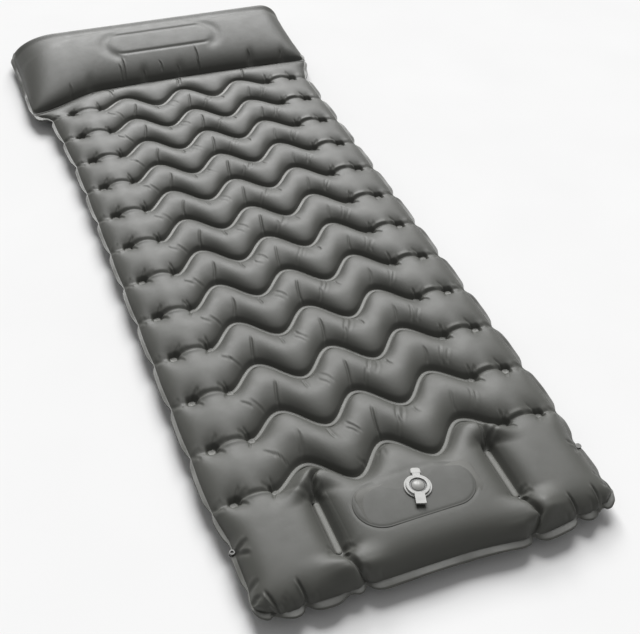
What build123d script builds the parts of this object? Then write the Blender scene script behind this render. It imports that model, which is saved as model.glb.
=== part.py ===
"""Inflatable sleeping pad with a raised pillow and a foot pump, lying flat.

+X runs across the pad, +Y towards the head, +Z up. The origin is on the floor,
in the middle of the pad. All sizes are in millimetres. The pad is shown blown
up: two thin sheets, welded together at mid height, bulge up and down between
the welds. The wavy weld rows are drawn straight here.
"""

from build123d import *
import math
import os

# ---- driving dimensions -------------------------------------------------
pad_length = 1950.0
weld_height = 30.0          # the plane in which the two sheets meet
sheet = 0.8                 # thickness of one coated sheet
row_pitch = 120.0           # from one weld row to the next
row_count = 12
weld_width = 7.0
foot_length = 245.0         # foot edge to the first weld row
junction_gap = 90.0         # last weld row to the pillow's front weld
seam_width = 13.0           # flat welded rim round the pad
body_rise = 26.0            # how far a tube bulges above the weld plane
pillow_rise = 66.0
foot_half = 330.0           # half widths of the inflated part, without the rim
body_half = 345.0
pillow_half = 382.0
edge_run = 62.0             # how far the side of the pad curves in
corner_radius = 24.0
tube_run = 42.0             # how far a tube curves up before it is level
last_tube_rise, last_tube_run = 22.0, 32.0
pillow_front_run, pillow_side_run = 88.0, 84.0
wing_run, wing_side_run = 62.0, 52.0
lower_tube_share = 0.42     # below, a tube curves over this share of its width
lower_pillow_run = 70.0
lower_foot_run, lower_foot_side_run = 44.0, 60.0
wing_gap = 6.0              # from a weld bar to the foot chamber beside it
foot_rim_extra = 2.0        # the rim is a little wider in the foot section

foot_end = -pad_length / 2
head_end = pad_length / 2
first_row = foot_end + foot_length
last_row = first_row + (row_count - 1) * row_pitch
junction = last_row + junction_gap
gap = weld_width / 2

# foot pump
bar_place = 170.0           # weld bars beside the pump, from the middle line
block_half = 162.0
block_back = first_row - 12.0
block_front = foot_end + 20.0
block_top = 62.0
block_radius = 30.0
skirt_top = 55.7
lip_bottom = 56.0
panel_rounding = 4.5        # round edge of the panel that the hand presses
lip_thickness = 4.7         # the panel is thicker near that edge, to hold its shape
lip_height = 1.5
patch_length, patch_width, patch_thickness = 228.0, 100.0, 0.6
pouch_length, pouch_width, pouch_floor, pouch_top = 236.0, 90.0, 1.7, 60.7
foam_length, foam_width, foam_floor, foam_top = 206.0, 74.0, 2.8, 60.4
pouch_radius, foam_radius = 24.0, 20.0
pocket_radius, pocket_floor = 19.0, 44.0

# air valves, in their own frame: +Z out of the sheet, +Y towards the hinge
valve_y = first_row - 99.0
patch_x, patch_y = -10.0, valve_y - 9.0    # the patch is a little to the left of the valve,
pouch_y = valve_y - 10.0    # and, like the pouch, nearer the foot edge
valve_turn = -18.0          # degrees about Z
ring_radius, ring_height = 25.0, 2.5
tube_radius, tube_depth, bore_radius = 15.0, 12.0, 12.0
cap_radius, cap_bottom, cap_top = 21.5, 2.8, 5.8
plug_radius, plug_depth = 11.0, 2.5
cap_rounding = 1.2
plug_wall = 1.6
groove_radius, groove_width, groove_depth = 12.2, 3.4, 2.3
dome_rise = 1.8
tab_width, tab_reach, tab_thickness = 18.0, 40.0, 3.4
tab_start = 16.0            # tabs and strap begin inside the disc's edge
tab_rounding, ring_chamfer = 5.5, 0.7
hinge_place, hinge_height, knuckle_radius = 27.0, 3.9, 1.1
strap_width, strap_thickness, pin_radius, pin_reach = 13.6, 1.8, 0.6, 1.2
ear_gap, ear_wall, ear_foot = 0.3, 0.5, 1.8
pin_clearance = 0.05
seal_radius, seal_thickness, seal_height, seal_place = 11.0, 0.7, 1.0, -1.2
grille_top, grille_thickness = -6.0, 1.6
grille_hole, grille_hole_place, grille_holes = 3.2, 7.0, 4
stem_radius, stem_length = 1.2, 4.2
button_radius, button_thickness = 2.6, 0.6
flap_radius, flap_thickness, flap_bore, flap_gap = 11.3, 0.8, 1.6, 0.1

# release valve on the sloping back of the pillow
facet_top = (933.5, 80.0)
facet_foot = (961.0, 32.4)
back_edge = facet_foot[0] + 1.0
level_end = 852.0           # the pillow's top is level up to here
shoulder = (896.0, 4.6)     # where its back bends down, and how far it has dropped

# one-way valve in the wall of the pump pouch
check_height = 22.0
check_ring, check_ring_thickness, check_bore, check_flap_radius = 9.0, 1.6, 5.0, 6.6
check_tube_wall, check_tube_depth = 1.5, 2.2
check_flap_gap, check_flap_thickness = 0.4, 0.8
check_strap, check_strap_reach = 7.0, 0.6

# snap fasteners in the rim of the foot section
snap_y = first_row - 96.0
snap_x = foot_half + 7.5
snap_radius, snap_bore, stud_radius, snap_depth = 5.5, 2.7, 2.6, 2.5
snap_floor, stud_floor, snap_rounding = 0.6, 0.8, 0.8
snap_cap_radius, snap_cap_height, snap_cap_rounding = 6.3, 1.4, 0.9
post_radius, post_hole = 1.5, 1.6

past = 20.0                 # a cut reaches this far, past whatever it goes through


# ---- inflated sheets ----------------------------------------------------
def tangent_arc(foot, run, rise):
    """Arc from `foot` that ends level, `run` sideways and `rise` up or down."""
    radius = (run**2 + rise**2) / (2 * abs(rise))
    half_angle = math.atan2(abs(run), radius - abs(rise)) / 2
    side = math.copysign(1, run)
    up = math.copysign(1, rise)
    end = (foot[0] + run, foot[1] + rise)
    centre = (end[0], end[1] - up * radius)
    middle = (
        centre[0] - side * radius * math.sin(half_angle),
        centre[1] + up * radius * math.cos(half_angle),
    )
    return ThreePointArc(foot, middle, end)


def side_to_side(low, high, rise, run):
    """Closed outline between two points of the weld plane, level in the middle."""
    base = weld_height
    with BuildLine() as outline:
        tangent_arc((low, base), run, rise)
        Line((low + run, base + rise), (high - run, base + rise))
        tangent_arc((high, base), -run, rise)
        Line((high, base), (low, base))
    return outline.line


def tube_rows(inset):
    """(start, end, rise, run) of each tube between the weld rows, drawn `inset` smaller."""
    rows = []
    for row in range(row_count - 1):
        start = first_row + row * row_pitch
        rows.append((start + gap, start + row_pitch - gap, body_rise, tube_run))
    rows.append((last_row + gap, junction - gap, last_tube_rise, last_tube_run))
    return [(a + inset, b - inset, rise - inset, run) for a, b, rise, run in rows]


def cushion(outlines, low_x, high_x, rise, run):
    """Outlines seen from the side, run across the pad and rounded at its two edges."""
    with BuildPart() as body:
        with BuildSketch(Plane.YZ.offset(low_x)):
            for outline in outlines:
                make_face(outline)
        extrude(amount=high_x - low_x)
        with BuildSketch(Plane.XZ):
            make_face(side_to_side(low_x, high_x, rise, run))
        extrude(amount=pad_length, both=True, mode=Mode.INTERSECT)
    return body.part


def upper_tubes(inset):
    """The tubes above the weld plane, as one solid group."""
    outlines = [side_to_side(*row) for row in tube_rows(inset)]
    half = body_half - inset
    return cushion(outlines, -half, half, body_rise - inset, edge_run)


def lower_tubes(inset):
    """The tubes below the weld plane, flat where they lie on the floor."""
    drop = -(weld_height - inset)
    outlines = []
    for start, end, _, run in tube_rows(inset):
        outlines.append(side_to_side(start, end, drop, min(run, lower_tube_share * (end - start))))
    half = body_half - inset
    return cushion(outlines, -half, half, drop, edge_run)


def pillow_outline(inset):
    """Side view of the pillow above the weld plane, with a flat sloping back."""
    base = weld_height
    top = base + pillow_rise - inset
    front = junction + gap + inset
    slope = math.atan2(facet_top[1] - facet_foot[1], facet_foot[0] - facet_top[0])
    shift = (inset * math.sin(slope), inset * math.cos(slope))
    back_top = (facet_top[0] - shift[0], facet_top[1] - shift[1])
    back_foot = (facet_foot[0] - shift[0], facet_foot[1] - shift[1])
    with BuildLine() as outline:
        tangent_arc((front, base), pillow_front_run, top - base)
        Line((front + pillow_front_run, top), (level_end, top))
        ThreePointArc((level_end, top), (shoulder[0], top - shoulder[1]), back_top)
        Line(back_top, back_foot)
        Line(back_foot, (back_edge - inset, base))
        Line((back_edge - inset, base), (front, base))
    return outline.line


def upper_pillow(inset):
    """The pillow above the weld plane."""
    half = pillow_half - inset
    return cushion([pillow_outline(inset)], -half, half, pillow_rise - inset, pillow_side_run)


def lower_pillow(inset):
    """The pillow below the weld plane."""
    drop = -(weld_height - inset)
    front = junction + gap + inset
    outline = side_to_side(front, back_edge - inset, drop, lower_pillow_run)
    half = pillow_half - inset
    return cushion([outline], -half, half, drop, lower_pillow_run)


def upper_wing(side, inset):
    """One of the two plain air chambers beside the pump, above the weld plane."""
    inner = bar_place + wing_gap + inset
    outer = foot_half - inset
    low_x, high_x = (inner, outer) if side > 0 else (-outer, -inner)
    rise = body_rise - inset
    start = foot_end + seam_width + inset
    outline = side_to_side(start, first_row - gap - inset, rise, wing_run)
    return cushion([outline], low_x, high_x, rise, wing_side_run)


def lower_foot(inset):
    """The foot section below the weld plane."""
    drop = -(weld_height - inset)
    start = foot_end + seam_width + inset
    outline = side_to_side(start, first_row - gap - inset, drop, lower_foot_run)
    half = foot_half - inset
    return cushion([outline], -half, half, drop, lower_foot_side_run)


# ---- the upper sheet, cut along its welds into the parts that it forms ---
tubes, tube_air = upper_tubes(0), upper_tubes(sheet)
with BuildPart() as body_top_skin:
    with BuildSketch(Plane.XY.offset(weld_height)):
        with Locations((0, (first_row + junction) / 2)):
            Rectangle(2 * (body_half + seam_width), junction - first_row)
    extrude(amount=sheet)
    add(tubes)
    add(tube_air, mode=Mode.SUBTRACT)

pillow, pillow_air = upper_pillow(0), upper_pillow(sheet)
facet_middle = ((facet_top[0] + facet_foot[0]) / 2, (facet_top[1] + facet_foot[1]) / 2)
facet_normal = Vector(0, facet_top[1] - facet_foot[1], facet_foot[0] - facet_top[0])
release_face = Plane(
    origin=(0, facet_middle[0], facet_middle[1]),
    x_dir=Vector(0, facet_normal.Z, -facet_normal.Y),
    z_dir=facet_normal,
)
with BuildPart() as pillow_skin:
    with BuildSketch(Plane.XY.offset(weld_height)):
        with Locations((0, (junction + head_end) / 2)):
            RectangleRounded(2 * (pillow_half + seam_width), head_end - junction, corner_radius)
    extrude(amount=sheet)
    add(pillow)
    add(pillow_air, mode=Mode.SUBTRACT)
    with BuildSketch(release_face):
        Circle(tube_radius)
    extrude(amount=tube_depth / 2, both=True, mode=Mode.SUBTRACT)


def foot_skin(side):
    """The upper sheet over one plain foot chamber, with its part of the rim."""
    chamber, air = upper_wing(side, 0), upper_wing(side, sheet)
    outer = foot_half + seam_width + foot_rim_extra
    inner = bar_place
    with BuildPart() as skin:
        with BuildSketch(Plane.XY.offset(weld_height)):
            with Locations((side * (inner + outer) / 2, (foot_end + first_row) / 2)):
                Rectangle(outer - inner, foot_length)
        extrude(amount=sheet)
        rim_corner = skin.edges().filter_by(Axis.Z).group_by(Axis.Y)[0].sort_by(Axis.X)
        fillet(rim_corner[-1 if side > 0 else 0], corner_radius)
        add(chamber)
        add(air, mode=Mode.SUBTRACT)
        with Locations((side * snap_x, snap_y, weld_height)):
            Cylinder(post_hole, past, mode=Mode.SUBTRACT)
    return skin.part


left_foot_skin = foot_skin(-1)
right_foot_skin = foot_skin(1)

# ---- the lower sheet ----------------------------------------------------
lower_bulges = [lower_tubes(0), lower_pillow(0), lower_foot(0)]
lower_air = [lower_tubes(sheet), lower_pillow(sheet), lower_foot(sheet)]
rim_plane = Plane.XY.offset(weld_height - sheet)
with BuildPart() as bottom_skin:
    with BuildSketch(rim_plane) as rim:
        with Locations((0, (foot_end + first_row) / 2)):
            Rectangle(2 * (foot_half + seam_width + foot_rim_extra), foot_length)
        with Locations((0, (first_row + junction) / 2)):
            Rectangle(2 * (body_half + seam_width), junction - first_row)
        with Locations((0, (junction + head_end) / 2)):
            Rectangle(2 * (pillow_half + seam_width), head_end - junction)
        outer_corners = rim.vertices().group_by(Axis.Y)
        fillet(outer_corners[0] + outer_corners[-1], corner_radius)
    extrude(amount=sheet)
    for bulge in lower_bulges:
        add(bulge)
    for air in lower_air:
        add(air, mode=Mode.SUBTRACT)
    with Locations((-snap_x, snap_y, weld_height), (snap_x, snap_y, weld_height)):
        Cylinder(post_hole, past, mode=Mode.SUBTRACT)

# ---- foot pump ----------------------------------------------------------
block_middle = (block_front + block_back) / 2
block_length = block_back - block_front


def block_plan(inset):
    """The pump block seen from above, drawn `inset` smaller. Used inside a sketch."""
    with Locations((0, block_middle)):
        RectangleRounded(
            2 * (block_half - inset), block_length - 2 * inset, block_radius - inset
        )


with BuildPart() as pump_skirt:
    with BuildSketch(Plane.XY.offset(weld_height)):
        with Locations((0, (foot_end + first_row) / 2)):
            Rectangle(2 * bar_place, foot_length)
    extrude(amount=sheet)
    with BuildSketch(Plane.XY.offset(weld_height)):
        block_plan(0)
    extrude(amount=skirt_top - weld_height)
    with BuildSketch(Plane.XY.offset(weld_height)):
        block_plan(sheet)
    extrude(amount=skirt_top - weld_height, mode=Mode.SUBTRACT)

with BuildPart() as pump_panel:
    with BuildSketch(Plane.XY.offset(lip_bottom)):
        block_plan(0)
    extrude(amount=block_top - lip_bottom)
    fillet(pump_panel.faces().sort_by(Axis.Z)[-1].edges(), panel_rounding)
    with BuildSketch(Plane.XY.offset(lip_bottom)):
        block_plan(sheet)
    extrude(amount=lip_height, mode=Mode.SUBTRACT)
    with BuildSketch(Plane.XY.offset(lip_bottom)):
        block_plan(lip_thickness)
    extrude(amount=block_top - sheet - lip_bottom, mode=Mode.SUBTRACT)
    with Locations((0, valve_y, block_top)):
        Cylinder(tube_radius, past, mode=Mode.SUBTRACT)

with BuildPart() as valve_patch:
    with BuildSketch(Plane.XY.offset(block_top)):
        with Locations((patch_x, patch_y)):
            SlotOverall(patch_length, patch_width)
        with Locations((0, valve_y)):
            Circle(tube_radius, mode=Mode.SUBTRACT)
    extrude(amount=patch_thickness)

with BuildPart() as pump_foam:
    with BuildSketch(Plane.XY.offset(foam_floor)):
        with Locations((0, pouch_y)):
            RectangleRounded(foam_length, foam_width, foam_radius)
    extrude(amount=foam_top - foam_floor)
    with BuildSketch(Plane.XY.offset(pocket_floor)):
        with Locations((0, valve_y)):
            Circle(pocket_radius)
    extrude(amount=foam_top - pocket_floor, mode=Mode.SUBTRACT)

pouch_wall = pouch_y + pouch_width / 2
with BuildPart() as pump_pouch:
    with BuildSketch(Plane.XY.offset(pouch_floor)):
        with Locations((0, pouch_y)):
            RectangleRounded(pouch_length, pouch_width, pouch_radius)
    extrude(amount=pouch_top - pouch_floor)
    with BuildSketch(Plane.XY.offset(pouch_floor + sheet)):
        with Locations((0, pouch_y)):
            RectangleRounded(
                pouch_length - 2 * sheet, pouch_width - 2 * sheet, pouch_radius - sheet
            )
    extrude(amount=pouch_top - pouch_floor, mode=Mode.SUBTRACT)
    with BuildSketch(Plane((0, pouch_wall, check_height), z_dir=(0, 1, 0))):
        Circle(check_bore + check_tube_wall)
    extrude(amount=past / 2, both=True, mode=Mode.SUBTRACT)

# one-way valve in the pouch: a ring through the wall and a flap outside it
check_face = Plane((0, pouch_wall, check_height), x_dir=(-1, 0, 0), z_dir=(0, 1, 0))
with BuildPart() as check_seat:
    with BuildSketch(check_face.offset(-check_tube_depth)):
        Circle(check_bore + check_tube_wall)
    extrude(amount=check_tube_depth)
    with BuildSketch(check_face):
        Circle(check_ring)
    extrude(amount=check_ring_thickness)
    with BuildSketch(check_face.offset(-check_tube_depth)):
        Circle(check_bore)
    extrude(amount=past, mode=Mode.SUBTRACT)

# the flap turns about the top edge of its strap
with BuildPart() as check_flap:
    with BuildSketch(check_face.offset(check_ring_thickness + check_flap_gap)):
        Circle(check_flap_radius)
        with Locations((0, check_flap_radius / 2)):
            Rectangle(check_strap, check_flap_radius + 2 * check_strap_reach)
    extrude(amount=check_flap_thickness)


# ---- air valves ---------------------------------------------------------
def valve_base(face):
    """Welded ring with its tube, hinge tab and the two ears that hold the cap."""
    ear_outer = tab_width / 2
    ear_inner = strap_width / 2 + ear_gap
    ear_length = 2 * (knuckle_radius + ear_wall)
    with BuildPart() as base:
        with BuildSketch(face):
            Circle(ring_radius)
            with Locations((0, tab_reach / 2)):
                Rectangle(tab_width, tab_reach)
        extrude(amount=ring_height)
        upright = base.edges().filter_by(lambda e: abs(e.length - ring_height) < 0.01)
        far_edges = upright.sort_by(lambda e: face.to_local_coords(e.center()).Y)[-2:]
        fillet(far_edges, tab_rounding)
        rim = base.faces().sort_by(lambda f: face.to_local_coords(f.center()).Z)[-1]
        chamfer(rim.edges(), ring_chamfer)
        with BuildSketch(face.offset(-tube_depth)):
            Circle(tube_radius)
        extrude(amount=tube_depth)
        for side in (-1, 1):
            ear_face = Plane(
                face.from_local_coords(Vector(side * ear_inner, hinge_place, hinge_height)),
                x_dir=face.y_dir,
                z_dir=face.x_dir * side,
            )
            with BuildSketch(ear_face):
                Circle(ear_length / 2)
                with Locations((0, -side * ear_foot / 2)):
                    Rectangle(ear_length, ear_foot)
                Circle(pin_radius + pin_clearance, mode=Mode.SUBTRACT)
            extrude(amount=ear_outer - ear_inner)
        with BuildSketch(face.offset(-tube_depth)):
            Circle(bore_radius)
        extrude(amount=tube_depth + ring_height, mode=Mode.SUBTRACT)
    return base.part


def valve_cap(face):
    """Cap disc with a domed middle, a thick pull tab, a plug and the hinge knuckle."""
    hinge_plane = Plane(
        face.from_local_coords(Vector(0, hinge_place, hinge_height)),
        x_dir=face.y_dir,
        z_dir=face.x_dir,
    )
    with BuildPart() as cap:
        with BuildSketch(face.offset(cap_bottom)):
            Circle(cap_radius)
        extrude(amount=cap_top - cap_bottom)
        top = cap.faces().sort_by(lambda f: face.to_local_coords(f.center()).Z)[-1]
        fillet(top.edges(), cap_rounding)
        with BuildSketch(face.offset(cap_top + cap_rounding - tab_thickness)):
            with Locations((0, -(tab_reach + tab_start) / 2)):
                Rectangle(tab_width, tab_reach - tab_start)
        extrude(amount=tab_thickness)
        with BuildSketch(face.offset(hinge_height - strap_thickness / 2)):
            with Locations((0, (hinge_place + tab_start) / 2)):
                Rectangle(strap_width, hinge_place - tab_start)
        extrude(amount=strap_thickness)
        with BuildSketch(hinge_plane):
            Circle(knuckle_radius)
        extrude(amount=strap_width / 2, both=True)
        with BuildSketch(hinge_plane):
            Circle(pin_radius)
        extrude(amount=strap_width / 2 + pin_reach, both=True)
        with BuildSketch(face.offset(-plug_depth)):
            Circle(plug_radius)
            Circle(plug_radius - plug_wall, mode=Mode.SUBTRACT)
        extrude(amount=plug_depth + cap_bottom)
        with BuildSketch(face.offset(cap_top - groove_depth)):
            Circle(groove_radius + groove_width)
        extrude(amount=groove_depth, mode=Mode.SUBTRACT)
        dome_radius = (groove_radius**2 + (groove_depth + dome_rise) ** 2) / (
            2 * (groove_depth + dome_rise)
        )
        dome_middle = cap_top + dome_rise - dome_radius
        side_plane = Plane(face.origin, x_dir=face.x_dir, z_dir=-face.y_dir)
        with BuildSketch(side_plane):
            with BuildLine():
                half_angle = math.asin(groove_radius / dome_radius) / 2
                ThreePointArc(
                    (0, cap_top + dome_rise),
                    (
                        dome_radius * math.sin(half_angle),
                        dome_middle + dome_radius * math.cos(half_angle),
                    ),
                    (groove_radius, cap_top - groove_depth),
                )
                Line((groove_radius, cap_top - groove_depth), (0, cap_top - groove_depth))
                Line((0, cap_top - groove_depth), (0, cap_top + dome_rise))
            make_face()
        revolve(axis=Axis(face.origin, face.z_dir))
    return cap.part


def cap_seal(face):
    """Soft ring round the cap's plug."""
    side_plane = Plane(face.origin, x_dir=face.x_dir, z_dir=-face.y_dir)
    with BuildPart() as seal:
        with BuildSketch(side_plane):
            with Locations((seal_radius + seal_thickness / 2, seal_place)):
                Rectangle(seal_thickness, seal_height)
        revolve(axis=Axis(face.origin, face.z_dir))
    return seal.part


intake_face = Plane.XY.offset(block_top + patch_thickness).move(Location((0, valve_y, 0))).rotated(
    (0, 0, valve_turn)
)
intake_base = valve_base(intake_face)
intake_cap = valve_cap(intake_face)
intake_cap_seal = cap_seal(intake_face)
release_base = valve_base(release_face)
release_cap = valve_cap(release_face)
release_cap_seal = cap_seal(release_face)

# grille across the intake's tube, with the stem and button that hold the one-way flap
stem_top = grille_top - grille_thickness
with BuildPart() as intake_grille:
    with BuildSketch(intake_face.offset(stem_top)):
        Circle(bore_radius)
        with PolarLocations(grille_hole_place, grille_holes):
            Circle(grille_hole, mode=Mode.SUBTRACT)
    extrude(amount=grille_thickness)
    with BuildSketch(intake_face.offset(stem_top - stem_length)):
        Circle(stem_radius)
    extrude(amount=stem_length)
    with BuildSketch(intake_face.offset(stem_top - stem_length - button_thickness)):
        Circle(button_radius)
    extrude(amount=button_thickness)

with BuildPart() as intake_flap:
    with BuildSketch(intake_face.offset(stem_top - flap_gap - flap_thickness)):
        Circle(flap_radius)
        Circle(flap_bore, mode=Mode.SUBTRACT)
    extrude(amount=flap_thickness)

# ---- snap fasteners: a socket on the left edge, a stud on the right ------
rim_top = weld_height + sheet
rim_bottom = weld_height - sheet
with BuildPart() as snap_socket:
    with BuildSketch(Plane.XY.offset(rim_top)):
        with Locations((-snap_x, snap_y)):
            Circle(snap_radius)
    extrude(amount=snap_floor + snap_depth)
    fillet(snap_socket.faces().sort_by(Axis.Z)[-1].edges(), snap_rounding)
    with BuildSketch(Plane.XY.offset(rim_top + snap_floor)):
        with Locations((-snap_x, snap_y)):
            Circle(snap_bore)
    extrude(amount=snap_depth, mode=Mode.SUBTRACT)
    with BuildSketch(Plane.XY.offset(rim_top)):
        with Locations((-snap_x, snap_y)):
            Circle(post_radius)
    extrude(amount=snap_floor, mode=Mode.SUBTRACT)

with BuildPart() as socket_cap:
    with BuildSketch(Plane.XY.offset(rim_bottom - snap_cap_height)):
        with Locations((-snap_x, snap_y)):
            Circle(snap_cap_radius)
    extrude(amount=snap_cap_height)
    fillet(socket_cap.faces().sort_by(Axis.Z)[0].edges(), snap_cap_rounding)
    with BuildSketch(Plane.XY.offset(rim_bottom)):
        with Locations((-snap_x, snap_y)):
            Circle(post_radius)
    extrude(amount=2 * sheet + snap_floor)

with BuildPart() as snap_stud:
    with BuildSketch(Plane.XY.offset(rim_bottom - stud_floor)):
        with Locations((snap_x, snap_y)):
            Circle(snap_radius)
            Circle(post_radius, mode=Mode.SUBTRACT)
    extrude(amount=stud_floor)
    with BuildSketch(Plane.XY.offset(rim_bottom - stud_floor - snap_depth)):
        with Locations((snap_x, snap_y)):
            Circle(stud_radius)
    extrude(amount=snap_depth)

with BuildPart() as stud_cap:
    with BuildSketch(Plane.XY.offset(rim_top)):
        with Locations((snap_x, snap_y)):
            Circle(snap_cap_radius)
    extrude(amount=snap_cap_height)
    fillet(stud_cap.faces().sort_by(Axis.Z)[-1].edges(), snap_cap_rounding)
    with BuildSketch(Plane.XY.offset(rim_bottom - stud_floor)):
        with Locations((snap_x, snap_y)):
            Circle(post_radius)
    extrude(amount=2 * sheet + stud_floor)

# ---- write each piece ---------------------------------------------------
pieces = {
    "body_top_skin": body_top_skin.part,
    "pillow_skin": pillow_skin.part,
    "left_foot_skin": left_foot_skin,
    "right_foot_skin": right_foot_skin,
    "bottom_skin": bottom_skin.part,
    "pump_skirt": pump_skirt.part,
    "pump_panel": pump_panel.part,
    "valve_patch": valve_patch.part,
    "pump_foam": pump_foam.part,
    "pump_pouch": pump_pouch.part,
    "check_seat": check_seat.part,
    "check_flap": check_flap.part,
    "intake_base": intake_base,
    "intake_grille": intake_grille.part,
    "intake_flap": intake_flap.part,
    "intake_cap": intake_cap,
    "intake_cap_seal": intake_cap_seal,
    "release_base": release_base,
    "release_cap": release_cap,
    "release_cap_seal": release_cap_seal,
    "snap_socket": snap_socket.part,
    "socket_cap": socket_cap.part,
    "snap_stud": snap_stud.part,
    "stud_cap": stud_cap.part,
}
os.makedirs("parts", exist_ok=True)
for name, piece in pieces.items():
    piece.label = name
    export_step(piece, f"parts/{name}.step")
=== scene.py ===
"""Inflatable sleeping pad with a pillow and a foot pump, on a pale studio floor.

Metres, in the frame's own axes: +X across the pad, +Y towards the head, +Z up.
The pad is cut flat and welded on a grid (u across, v along), and a cloth
simulation blows the upper sheet up between the welds.
"""

import math

import bpy
import numpy as np
from mathutils import Matrix, Vector
from mathutils.bvhtree import BVHTree


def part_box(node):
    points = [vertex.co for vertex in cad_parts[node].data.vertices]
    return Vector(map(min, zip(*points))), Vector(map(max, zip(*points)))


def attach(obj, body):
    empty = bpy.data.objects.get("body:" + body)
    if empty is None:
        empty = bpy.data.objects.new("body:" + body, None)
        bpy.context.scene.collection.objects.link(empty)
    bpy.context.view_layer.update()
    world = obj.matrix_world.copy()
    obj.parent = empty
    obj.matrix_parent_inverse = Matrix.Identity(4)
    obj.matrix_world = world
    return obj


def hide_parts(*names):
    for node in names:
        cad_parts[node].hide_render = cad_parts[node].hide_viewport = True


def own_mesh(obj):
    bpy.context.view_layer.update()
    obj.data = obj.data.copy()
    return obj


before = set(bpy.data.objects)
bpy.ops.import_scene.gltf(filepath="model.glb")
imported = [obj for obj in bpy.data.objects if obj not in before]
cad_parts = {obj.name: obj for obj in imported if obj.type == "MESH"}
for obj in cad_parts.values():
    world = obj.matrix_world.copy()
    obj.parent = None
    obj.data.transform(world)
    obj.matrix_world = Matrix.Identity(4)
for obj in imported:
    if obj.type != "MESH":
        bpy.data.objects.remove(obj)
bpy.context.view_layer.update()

# ---- sizes that come from the frame ----
body_low, body_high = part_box("body_top_skin")
pillow_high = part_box("pillow_skin")[1]
wing_low, wing_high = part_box("left_foot_skin")
panel_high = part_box("pump_panel")[1]
patch_low, patch_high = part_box("valve_patch")
foam_low, foam_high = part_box("pump_foam")
pouch_low, pouch_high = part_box("pump_pouch")
socket_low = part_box("snap_socket")[0]

weld_z = body_low.z
first_row = body_low.y
junction = body_high.y
foot_end = wing_low.y
head_end = pillow_high.y
bar_x = -wing_high.x
pillow_rise = pillow_high.z - weld_z
block_rise = panel_high.z - weld_z

rim_width = 0.014
side_rim = 0.008            # the rim folds down along the sides
foot_spare, body_spare = 0.002, 0.003    # the rim ends this far inside the frame's box
foot_half = -wing_low.x - side_rim - foot_spare
body_half = body_high.x - side_rim - body_spare
pillow_half = pillow_high.x - side_rim
foot_line = foot_end + rim_width
head_line = head_end - rim_width

row_pitch = 0.120
row_count = 12
row_lines = [first_row + row_pitch * k for k in range(row_count)]
last_row = row_lines[-1]

slope_top, slope_foot = (0.9335, 0.080), (0.961, 0.0324)    # y, z of the pillow's flat back

# ---- the cutting plan ----
grid_step = 0.0062          # spacing of the simulated grid
weld_half = 0.0045          # half the width of a weld strip
bar_half = 0.0062           # half the width of the bars beside the pump
bar_top_v, bar_foot_v = -0.792, -0.890
wave_end = 0.2285           # where each wavy weld stops
dot_x = 0.309               # spot weld between the wave's end and the rim
dot_radius = 0.0088
end_radius = 0.0082         # the welds end in a round blob
wave_length = 0.157
wave_middle, wave_height = 0.0135, 0.0305
inner_zone = 0.240          # up to here the plan isn't stretched sideways
edge_u = 0.350              # u of the rim's inner edge
foot_notches = (-0.318, -0.257, -0.150, 0.158, 0.252, 0.310)
corner_radius = 0.042
# how the blown-up pad differs from a straight one, seen from above
side_bulge = 0.0025         # the sides swell between two rows
wave_fade_in, wave_fade_out = 0.115, 0.084
row_shift = 0.008           # the waved rows lie a little nearer the foot
row_arch = 0.020            # rows in the middle of the pad lie nearer the head
junction_bow, junction_dip, junction_reach = 0.013, 0.012, 0.06
left_dip, left_dip_start, left_dip_run = 0.056, 0.20, 0.19
notch_depth, notch_half, notch_reach = 0.006, 0.009, 0.016
foot_bow, foot_bow_x, foot_bow_half = 0.012, 0.165, 0.085    # the foot edge bows out on the right
wave_run_out = 0.078        # from the outer trough to the wave's straight end


def smooth(t):
    t = np.clip(t, 0, 1)
    return t * t * (3 - 2 * t)


def bell(x, half):
    """1 at x = 0, falling smoothly to about a third at x = half."""
    return np.exp(-(x / half) ** 2)


def wave(x):
    """How far a weld row runs towards the head at x: three crests and two troughs."""
    a = np.abs(x)
    inner = wave_middle + wave_height * np.cos(2 * np.pi * a / wave_length)
    run_out = np.clip((a - wave_length) / wave_run_out, 0, 1)
    outer = (wave_middle + wave_height) / 2 * (1 + np.cos(np.pi * run_out))
    return np.where(a < wave_length, inner, outer)


def arch(v):
    """1 in the middle of the pad's length, 0 at the first and last rows."""
    return 1 - np.clip((v - (first_row + last_row) / 2) / ((last_row - first_row) / 2), -1, 1) ** 2


def half_width(v, side):
    """Half the pad's width inside the rim, drawn in at each row of welds."""
    places, widths = zip(
        (foot_line, foot_half - 0.001), (foot_line + 0.018, foot_half + 0.007), (foot_line + 0.06, foot_half),
        (first_row - 0.07, foot_half), (first_row - 0.008, body_half - 0.003), (last_row, body_half - 0.003),
        (junction - 0.04, body_half + 0.012), (junction, pillow_half - 0.007),
        (head_line - 0.12, pillow_half - 0.006), (head_line, pillow_half + 0.001))
    bulge = side_bulge * np.abs(np.sin(np.pi * (v - first_row) / row_pitch)) ** 0.7
    between = smooth((v - first_row + 0.01) / 0.02) * smooth((junction - v) / 0.02)
    # the left side is a little wider towards the head
    left = np.interp(v, [last_row - 0.24, last_row, junction, head_line], [0, 0.014, 0.020, 0.014])
    return np.interp(v, places, widths) + bulge * between + np.where(side < 0, left, 0)


# v and x of the folds that leave the ends of the two bars at an angle
left_fold = ((foot_line, 0.150), (bar_foot_v, bar_x), (bar_top_v, bar_x), (-0.765, 0.162),
             (-0.745, 0.140), (first_row, 0.110), (first_row + 0.10, bar_x))
right_fold = ((foot_line, 0.158), (-0.935, 0.180), (bar_foot_v, bar_x), (bar_top_v, bar_x),
              (first_row, 0.188), (first_row + 0.06, bar_x))


def fold_place(v, side):
    """How far from the pad's middle the fold beside the pump lies."""
    left, right = (np.interp(v, *zip(*fold)) for fold in (left_fold, right_fold))
    return np.where(side < 0, left, right)


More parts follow.
